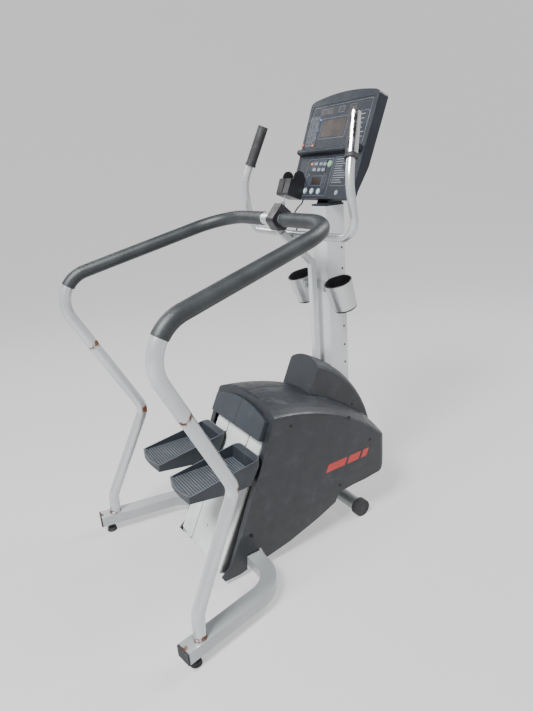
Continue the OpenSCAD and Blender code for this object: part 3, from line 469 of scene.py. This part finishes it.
FOOT, BEND, KNEE = point(365, -411, 77.2), point(361, -405, 150), point(338, -243, 468)
REAR, FRONT = point(412, -476, 958), point(315, 172, 1114)
UP = (REAR - KNEE).normalized()
JOINT_HEIGHT = 0.735
JOINT = KNEE + UP * ((JOINT_HEIGHT - KNEE.z) / UP.z)
SIDE_BENDS = [0, 0.08, 0.06, 0]
RAIL_BENDS = [0, 0.107, 0.150]
HORN = [point(237, 306, 1399), point(282, 239, 1221), point(287, 258, 1058), point(0, 240, 1058)]
HORN_BENDS = [0, 0.15, 0.061, 0.2, 0.061, 0.15, 0]
SIDE_R, RAIL_R, HORN_R = 0.019, 0.0199, 0.0126
WELD_R, FOOT_WELD, JOINT_RING = 0.0192, 0.0034, 0.0011  # radius, and the two thicknesses
FOAM_R, FOAM_ROUND = 0.0221, 0.003
FOAM_START = 60  # degrees into the rail's rear bend
FOAM_ENDS = {1: 0.048, -1: 0.056}  # where each length of foam ends on the crossbar
TUBE_GAP, FOAM_GAP = 0.02, 0.0035


def rounded_end(length, r, round_r):
    """A radius that falls off in an arc over the last round_r at both ends."""
    def at(distance):
        e = min(distance, length - distance)
        if e >= round_r:
            return r
        return r - round_r + math.sqrt(max(0.0, round_r ** 2 - (round_r - e) ** 2))
    return at


def path_length(path):
    return sum((b - a).length for a, b in zip(path, path[1:]))


def make_side_tubes():
    for side, tag in SIDES:
        foot, bend, knee, joint = on_side(side, [FOOT, BEND, KNEE, JOINT])
        path = rounded_path([foot, bend, knee, joint], SIDE_BENDS)
        o = loft("side_tube_" + tag, densify(path, TUBE_GAP), SIDE_R, "silver")
        up = (bend - foot).normalized()
        bead("foot_weld_" + tag, foot + Vector((0, 0, 0.001)), up, WELD_R, FOOT_WELD, side + 3)
        up = (joint - knee).normalized()
        bead("joint_weld_" + tag, joint - up * 0.0006, up, WELD_R, JOINT_RING, side + 9, "rust")
    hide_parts("side_tubes")


def make_handrail():
    whole = [JOINT, REAR, FRONT, mirror_x(FRONT), mirror_x(REAR), mirror_x(JOINT)]
    rail = densify(rounded_path(whole, RAIL_BENDS + RAIL_BENDS[::-1]), TUBE_GAP)
    o = loft("handrail", rail, RAIL_R, "silver")
    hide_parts("handrail_tube")
    for side, tag in SIDES:
        end = Vector((FOAM_ENDS[side], FRONT.y, FRONT.z))
        arc = rounded_path(on_side(side, [JOINT, REAR, FRONT, end]), RAIL_BENDS + [0], step=1.0)
        foam = densify(arc[1 + FOAM_START:], FOAM_GAP)
        outline = rounded_end(path_length(foam), FOAM_R, FOAM_ROUND)
        o = loft("foam_" + tag, foam, outline, "foam", wobble=0.00028, seed=5 + side,
                 seg=40)
    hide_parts("handrail_foam")


def make_grip_bar():
    whole = HORN + [mirror_x(v) for v in HORN[2::-1]]
    o = loft("grip_bar", densify(rounded_path(whole, HORN_BENDS), TUBE_GAP), HORN_R, "silver")
    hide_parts("horn_tube")


def bead(name, centre, axis, r, thick, seed, mat="silver"):
    """An uneven ring round a tube, as a weld leaves it."""
    rng = random.Random(seed)
    x = axis.orthogonal().normalized()
    y = axis.cross(x)
    around, section = 72, 8
    verts = []
    for i in range(around):
        a = 2 * math.pi * i / around
        t = thick * (0.85 + 0.3 * rng.random())
        off = 0.0006 * math.sin(5 * a + seed)
        for k in range(section):
            b = 2 * math.pi * k / section
            out = r + t * 0.5 * math.cos(b)
            along = off + t * math.sin(b)
            verts.append(centre + out * (math.cos(a) * x + math.sin(a) * y) + along * axis)
    return add_mesh(name, verts, wall(around, section, closed=True), mat)


make_side_tubes()
make_handrail()
make_grip_bar()


# ---------- cords ----------

LEAD = [(-118, 298, 1172.6), (-114, 292, 1163), (-100, 283, 1152), (-80, 268, 1140),
        (-56, 250, 1129), (-30, 231, 1128), (-4, 214, 1139), (14, 202, 1152),
        (27, 192, 1162), (35, 183, 1166), (38, 178, 1161.8)]
CABLE = [(-100, 361.7, 1153.9), (-103, 356, 1141), (-107, 341, 1128), (-95, 319, 1112),
         (-58, 297, 1092), (-30, 280, 1075), (-21, 267, 1062), (-17, 260, 1050),
         (-8, 257, 1039), (2, 253.5, 1028.5)]
CORD_STEPS = 90


def smooth_route(route, count):
    """Points on one smooth curve through the route, in metres."""
    n = len(route) - 1
    pts = [point(*q) for q in route]
    out = []
    for i in range(count + 1):
        t = i / count * n
        k = min(int(t), n - 1)
        f = t - k
        a, b, c, d = pts[max(k - 1, 0)], pts[k], pts[k + 1], pts[min(k + 2, n)]
        out.append(0.5 * (2 * b + (c - a) * f + (2 * a - 5 * b + 4 * c - d) * f * f
                          + (3 * b - a - 3 * c + d) * f ** 3))
    return out


def make_cord(name, node, route, diameter, mat):
    pts = smooth_route(route, CORD_STEPS)
    data = bpy.data.curves.new(name, "CURVE")
    data.dimensions = "3D"
    data.bevel_depth = diameter / 2
    data.bevel_resolution = 4
    data.use_fill_caps = True
    spline = data.splines.new("POLY")
    spline.points.add(len(pts) - 1)
    for q, knot in zip(pts, spline.points):
        knot.co = (*q, 1)
    data.materials.append(MATERIALS[mat])
    ob = bpy.data.objects.new(name, data)
    bpy.context.collection.objects.link(ob)
    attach(ob, "frame")
    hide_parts(node)


make_cord("holder_lead", "cradle_lead", LEAD, 0.003, "line")
make_cord("console_lead", "console_cable", CABLE, 0.005, "rubber")


# ---------- edges of the CAD's moulded and folded parts ----------

EDGE_ANGLE, FLAT_ANGLE = math.radians(30), math.radians(0.6)


def soften(node, width):
    """Joins a node's flat faces and rounds its edges."""
    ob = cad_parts[node]
    m = ob.modifiers.new("flat", "DECIMATE")
    m.decimate_type = "DISSOLVE"
    m.angle_limit = FLAT_ANGLE
    m = ob.modifiers.new("edge", "BEVEL")
    m.width = width
    m.segments = 2
    m.limit_method = "ANGLE"
    m.angle_limit = EDGE_ANGLE


for node, width in (("rear_foot_tube", 0.003), ("mast", 0.003), ("support_arm", 0.0018),
                    ("receiver_box", 0.0012), ("device_cradle", 0.001), ("end_caps", 0.0014),
                    ("pedal_left", 0.0014), ("pedal_right", 0.0014), ("track_centre_panel", 0.0006),
                    ("track_strips", 0.0006), ("console_neck", 0.001), ("cup_bracket", 0.0008)):
    soften(node, width)


# ---------- pedals ----------

PEDAL_X, PEDAL_Y, PEDAL_Z = 114.5, -62, 420
PEDAL_HALF, PEDAL_LENGTH, PEDAL_BOW = 72.5, 265, 12
CORNER, WALL_MIDDLE = 22, 1.9
RIM_SLOPE, RIM_DROP, RIM_R = math.tan(math.radians(7.5)), 0.5, 0.0014
TREAD_FRONT, TREAD_REAR = (-34, -43.8), (-252, -37.1)
RIBS, RIB_HALF, END_RIB_HALF = 26, 66, 60
RIB_SECTION = [(-1.9, -0.6), (-1.3, 1.0), (-0.6, 1.5), (0.6, 1.5), (1.3, 1.0), (1.9, -0.6)]


def make_ribs(side, tag):
    """Bars across the tread, the first and last a little shorter, lighter slate as painted highlight."""
    verts, faces = [], []
    box = prism_faces(len(RIB_SECTION))
    for i in range(RIBS):
        f = i / (RIBS - 1)
        y = PEDAL_Y + (TREAD_FRONT[0] + f * (TREAD_REAR[0] - TREAD_FRONT[0]))
        z = PEDAL_Z + (TREAD_FRONT[1] + f * (TREAD_REAR[1] - TREAD_FRONT[1]))
        half = RIB_HALF if 0 < i < RIBS - 1 else END_RIB_HALF
        base = len(verts)
        verts += [point(side * PEDAL_X + end * half, y + a, z + b)
                  for end in (-1, 1) for a, b in RIB_SECTION]
        faces += [tuple(base + j for j in face) for face in box]
    add_mesh("tread_ribs_" + tag, verts, faces, "painted_highlight_slate", "step_" + tag, smooth=False)


def make_rim(side, tag):
    """A rolled bead along the top of the tub's wall, in a lighter slate as painted highlight."""
    half, r = PEDAL_HALF - WALL_MIDDLE, CORNER - WALL_MIDDLE
    turn = [math.radians(10 * k) for k in range(10)]
    plan = [(half - r + r * math.cos(a), -CORNER + r * math.sin(a)) for a in turn]
    plan += [(-x, y) for x, y in plan[::-1]]
    across = [k / 6 for k in range(-6, 7)]
    plan += [(f * half, -PEDAL_LENGTH + WALL_MIDDLE + PEDAL_BOW * f * f) for f in across]
    path = [point(side * PEDAL_X + x, PEDAL_Y + y, PEDAL_Z - RIM_DROP + y * RIM_SLOPE)
            for x, y in plan]
    path.append(path[0] + (path[-1] - path[0]) * 0.004)
    loft("pedal_rim_" + tag, densify(path, TUBE_GAP), RIM_R, "painted_highlight_slate", body="step_" + tag, seg=10)


for side, tag in SIDES:
    make_ribs(side, tag)
    make_rim(side, tag)


# ---------- console face ----------

LEAN = math.radians(22)
CONSOLE_Y, CONSOLE_Z = 349, 1160  # the place where the face's own y and z are 0
RECESS = 1.2  # depth of the membranes' recess, where the backs of most pieces lie
HALF_METRE = 500  # millimetres
FRAMES = [  # name, rectangle in x and z, corner radius, line width
    ("upper_line", (-146, 170, 146, 309), 7, 0.585),
    ("window_line", (-82, 199, 49, 267), 4, 0.715),
    ("side_line", (97, 174, 144, 273), 5, 0.585),
    ("pad_line", (-104, 10, 30, 132), 8, 0.65),
    ("lower_window_line", (-66, 43, -8, 76), 3, 0.585),
    ("oval_left", (-94, 36, -74, 84), 9, 0.585),
    ("oval_right", (-6, 34, 14, 82), 9, 0.585),
    ("info_line", (39, 42, 116, 134), 4, 0.52),
]
FRAME_FRONT, RULE_FRONT, SLOT_FRONT = 0.75, 0.95, 0.7
SLOTS, SLOT_Z, SLOT_HALF_X, SLOT_HALF_Z, SLOT_MARGIN = (-85, -51, 6, 60), 290.5, 12, 7.5, 2
MARKS = [(-93, 265, "blue"), (-98, 231, "blue"), (-102, 207, "blue"), (-105, 181, "orange"),
         (-80, 117, "orange")]
PAD_KEYS = [(-56, 116), (-30, 115), (-9, 114), (-60, 97), (-34, 96), (-11, 95)]
RULES = [  # name, left end, top, number, step down, half thickness, lengths, corner radius
    ("rule", 44, 127, 11, 7.4, 0.9, (34, 66), 0.8),
    ("side_rule", 102, 263, 6, 14, 1.2, (20, 36), 1),
]
DIGIT_X, DIGIT_Z, DIGIT_GAP_X, DIGIT_GAP_Z, DIGIT_R = -141, 190, 17, 19, 7.2
KEYS = ("key_go", "key_stop", "key_quick_left", "key_quick_mid", "key_quick_right")
PANEL_HALF = 145  # keys further out than this stand on the console's face, not in the recess


def on_face(x, y, z):
    """A place on the console: y into the face, z up along it."""
    return point(x, CONSOLE_Y + y * math.cos(LEAN) + z * math.sin(LEAN),
                 CONSOLE_Z - y * math.sin(LEAN) + z * math.cos(LEAN))


def centred(x, z, half_x, half_z):
    return x - half_x, z - half_z, x + half_x, z + half_z


def round_rect(rect, r, n=4):
    """Outline of a rectangle with corners of radius r, n steps to a corner."""
    x0, z0, x1, z1 = rect
    corners = ((x1 - r, z1 - r), (x0 + r, z1 - r), (x0 + r, z0 + r), (x1 - r, z0 + r))
    out = []
    for i, (x, z) in enumerate(corners):
        for k in range(n + 1):
            a = math.radians(90 * i + 90 * k / n)
            out.append((x + r * math.cos(a), z + r * math.sin(a)))
    return out


def face_plate(name, outline, front, mat):
    prism(name, [on_face(x, front, z) for x, z in outline],
          [on_face(x, RECESS, z) for x, z in outline], mat)


def face_ring(name, rect, r, width, front, back=RECESS):
    """A printed line or a raised frame round a rectangle."""
    x0, z0, x1, z1 = rect
    outer = round_rect(rect, r)
    inner = round_rect((x0 + width, z0 + width, x1 - width, z1 - width), max(0.5, r - width))
    loops = ((back, outer), (front, outer), (front, inner), (back, inner))
    verts = [on_face(x, y, z) for y, loop in loops for x, z in loop]
    add_mesh(name, verts, wall(len(loops), len(outer), closed=True), "line", smooth=False)


def make_frames_and_keys():
    """Printed frames, windows and marks, and the pad's raised keys."""
    for name, rect, r, width in FRAMES:
        face_ring(name, rect, r, width, FRAME_FRONT)
    for i, x in enumerate(SLOTS):
        window = centred(x, SLOT_Z, SLOT_HALF_X, SLOT_HALF_Z)
        line = centred(x, SLOT_Z, SLOT_HALF_X + SLOT_MARGIN, SLOT_HALF_Z + SLOT_MARGIN)
        face_plate("slot_%d" % i, round_rect(window, 2), SLOT_FRONT, "window")
        face_ring("slot_line_%d" % i, line, 3, 0.8, 0.6)
    for i, (x, z, mat) in enumerate(MARKS):
        face_plate("mark_%d" % i, round_rect(centred(x, z, 5.5, 3.5), 3), 0.3, mat)
    for i, (x, z) in enumerate(PAD_KEYS):
        face_plate("pad_key_%d" % i, round_rect(centred(x, z, 8, 5), 4), -0.9, "line")


def make_rules():
    """Plain rules of uneven length in place of small print, and a round mark below them."""
    rng = random.Random(4)
    for kind, left, top, count, step, half, lengths, corner in RULES:
        for i in range(count):
            z = top - step * i
            rect = (left, z - half, left + rng.uniform(*lengths), z + half)
            face_plate("%s_%d" % (kind, i), round_rect(rect, corner, 2), RULE_FRONT, "line")
    face_plate("icon", round_rect((74, 12, 90, 28), 7.9, 6), 0.6, "line")


def make_key_rings():
    """Printed rings on the number pad, and a bezel round each key that presses."""
    for i in range(3):
        for j in range(5):
            rect = centred(DIGIT_X + DIGIT_GAP_X * i, DIGIT_Z + DIGIT_GAP_Z * j, DIGIT_R, DIGIT_R)
            face_ring("digit_ring_%d_%d" % (i, j), rect, 6.8, 0.8, 0.15, 0.35)
    for name in KEYS:
        lo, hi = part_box(name)
        half = (hi[0] - lo[0]) * HALF_METRE + 2.6
        x, y, z = ((a + b) * HALF_METRE for a, b in zip(lo, hi))
        y -= SHIFT * 1000
        up = (y - CONSOLE_Y) * math.sin(LEAN) + (z - CONSOLE_Z) * math.cos(LEAN)
        back = RECESS if abs(x) < PANEL_HALF else 0.05
        face_ring("bezel_" + name, centred(x, up, half, half), half - 0.1, 1.5, 0.2, back)


make_frames_and_keys()
make_rules()
make_key_rings()


# ---------- cup rims ----------

CUP_X, CUP_Y, CUP_Z, CUP_R = 104, 335, 897, 0.0461
CUP_LEAN = math.radians(18)
CUP_AXIS = Vector((0, -math.sin(CUP_LEAN), math.cos(CUP_LEAN)))
for side, tag in SIDES:
    top = point(side * CUP_X, CUP_Y, CUP_Z) - CUP_AXIS * 0.0006
    bead("cup_rim_" + tag, top, CUP_AXIS, CUP_R, 0.0021, 40, "black")


# ---------- small hardware ----------

# kind, place along X, places along Y and Z, radius, height, material, socket
FIXINGS = [
    ("shell_screw", 181.8, [(58.6, 489.4), (300, 440), (395, 320), (-120, 150), (250, 190)],
     0.0055, 0.0012, "hole", True),
    ("cover_screw", 79.8, [(242.2, 505.9), (403.4, 422.1)], 0.005, 0.0012, "hole", True),
    ("mast_plug", 37.9, [(412, z) for z in (993.5, 922.2, 714.1, 644.1, 576.9)],
     0.004, 0.001, "black", False),
]


def disc(name, centre, axis, r, h, mat, socket):
    """A low domed screw head or plug, hollow in the middle if it has a socket."""
    x = axis.orthogonal().normalized()
    y = axis.cross(x)
    n = 20
    rings = [(r, -0.001), (r, h * 0.5), (r * 0.8, h * 0.9), (r * 0.45, h)]
    if socket:
        rings += [(r * 0.4, h * 0.55), (r * 0.01, h * 0.5)]
    else:
        rings.append((r * 0.01, h))
    turn = [2 * math.pi * k / n for k in range(n)]
    verts = [centre + out * (math.cos(a) * x + math.sin(a) * y) + up * axis
             for out, up in rings for a in turn]
    add_mesh(name, verts, wall(len(rings), n) + caps(len(rings), n), mat)


for side, tag in SIDES:
    axis = Vector((1, 0, 0)) * side
    for kind, x, places, r, h, mat, socket in FIXINGS:
        for i, (y, z) in enumerate(places):
            name = "%s_%s_%d" % (kind, tag, i)
            disc(name, point(side * x, y, z), axis, r, h, mat, socket)


# ---------- seams between the housing's halves ----------

CROWN_Y, CROWN_Z, CROWN_R = -64, -194, 770  # the arc of the housing's top along the middle
TRACK_Y, TRACK_Z, TRACK = -232, 50, math.radians(27)
SEAM_HALF = Vector((0.0011, 0, 0))
TOP_SEAM = range(14, 231, 8)
COVER_SEAM, COVER_OUTSIDE, COVER_INSIDE = (452, 500, 544), -27.0, -28.2


def on_crown(y, lift):
    return point(0, y, CROWN_Z + math.sqrt(CROWN_R ** 2 - (y - CROWN_Y) ** 2) + lift)


def on_track(x, y, t):
    """A place in the sloping track's own directions: y along it, t up from it."""
    return point(x, TRACK_Y + y * math.cos(TRACK) + t * math.sin(TRACK),
                 TRACK_Z - y * math.sin(TRACK) + t * math.cos(TRACK))


def seam(name, lower, upper):
    """A near-black strip in a joint, between two rows of points: painted shade in the gap."""
    verts = [v for q, r in zip(lower, upper)
             for v in (q - SEAM_HALF, q + SEAM_HALF, r + SEAM_HALF, r - SEAM_HALF)]
    n = len(lower)
    add_mesh(name, verts, wall(n, 4) + caps(n, 4), "hole", smooth=False)


seam("top_seam", [on_crown(y, -1.5) for y in TOP_SEAM], [on_crown(y, 0.25) for y in TOP_SEAM])
seam("cover_seam", [on_track(0, COVER_OUTSIDE, t) for t in COVER_SEAM],
     [on_track(0, COVER_INSIDE, t) for t in COVER_SEAM])


# ---------- stripes on the housing's sides ----------

STRIPES = ((190, 84), (286, 52), (350, 26))  # rear end and length along Y
STRIPE_LOW, STRIPE_HIGH, STRIPE_SLANT = 262, 290, 14
STRIPE_BACK, STRIPE_FRONT = 181.6, 182.3
for side, tag in SIDES:
    for i, (y, length) in enumerate(STRIPES):
        outline = [(y, STRIPE_LOW), (y + length, STRIPE_LOW),
                   (y + length + STRIPE_SLANT, STRIPE_HIGH), (y + STRIPE_SLANT, STRIPE_HIGH)]
        inner, outer = ([point(side * x, a, b) for a, b in outline]
                        for x in (STRIPE_BACK, STRIPE_FRONT))
        prism("stripe_%s_%d" % (tag, i), inner, outer, "red")


# ---------- stage ----------

FLOOR_R, BOWL_R, WALL_TOP = 4.0, 4.0, 9.0
GLOW = 0.56  # the pale bowl's own light
DARK_FROM, DARK_TO = 5.0, 7.5  # heights between which the wall turns dark
WORLD_LIGHT = 0.12
LAMPS = [  # name, place, aim, size, power
    ("key", (1.2, -2.4, 4.0), (0, 0, 0.6), 1.3, 470),
    ("fill", (-3.4, -0.6, 2.8), (0, 0, 0.7), 1.6, 40),
    ("back", (0.4, 3.2, 3.6), (0, 0, 0.8), 1.5, 150),
]


def grey(value):
    return (value, value, value)


def make_floor():
    """A shallow bowl: a flat floor that curves up into a wall all round."""
    rise = [math.radians(5 * k) for k in range(1, 19)]
    profile = [(FLOOR_R / 2, 0.0), (FLOOR_R, 0.0)]
    profile += [(FLOOR_R + BOWL_R * math.sin(a), BOWL_R - BOWL_R * math.cos(a)) for a in rise]
    profile.append((FLOOR_R + BOWL_R, WALL_TOP))
    n = 96
    turn = [2 * math.pi * k / n for k in range(n)]
    verts = [(r * math.cos(a), r * math.sin(a), z) for r, z in profile for a in turn]
    verts.append((0, 0, 0))
    faces = wall(len(profile), n)
    faces += [(len(verts) - 1, (k + 1) % n, k) for k in range(n)]
    me = bpy.data.meshes.new("floor")
    me.from_pydata(verts, [], faces)
    for f in me.polygons:
        f.use_smooth = True
    floor = bpy.data.objects.new("floor", me)
    bpy.context.collection.objects.link(floor)
    t = Tree("floor", grey(0.30), 1.0, spec=0.0)
    high = t.ramp(t.axis("Z"), DARK_FROM, DARK_TO)
    pale = t.mix(t.noise(3, 3), grey(0.295), grey(0.305))
    t.color(t.mix(high, pale, grey(0.03)))
    t.put(t.bsdf, "Emission Color", t.mix(high, grey(1.0), grey(0.04)))
    t.bsdf.inputs["Emission Strength"].default_value = GLOW
    me.materials.append(t.mat)


def make_light():
    world = bpy.data.worlds.new("studio")
    world.use_nodes = True
    background = world.node_tree.nodes["Background"]
    background.inputs[0].default_value = (*grey(0.80), 1)
    background.inputs[1].default_value = WORLD_LIGHT
    bpy.context.scene.world = world
    for name, place, aim, size, power in LAMPS:
        data = bpy.data.lights.new(name, "AREA")
        data.size = size
        data.energy = power
        lamp = bpy.data.objects.new(name, data)
        turn = (Vector(aim) - Vector(place)).to_track_quat("-Z", "Y").to_matrix().to_4x4()
        lamp.matrix_world = Matrix.Translation(place) @ turn
        bpy.context.collection.objects.link(lamp)


make_floor()
make_light()
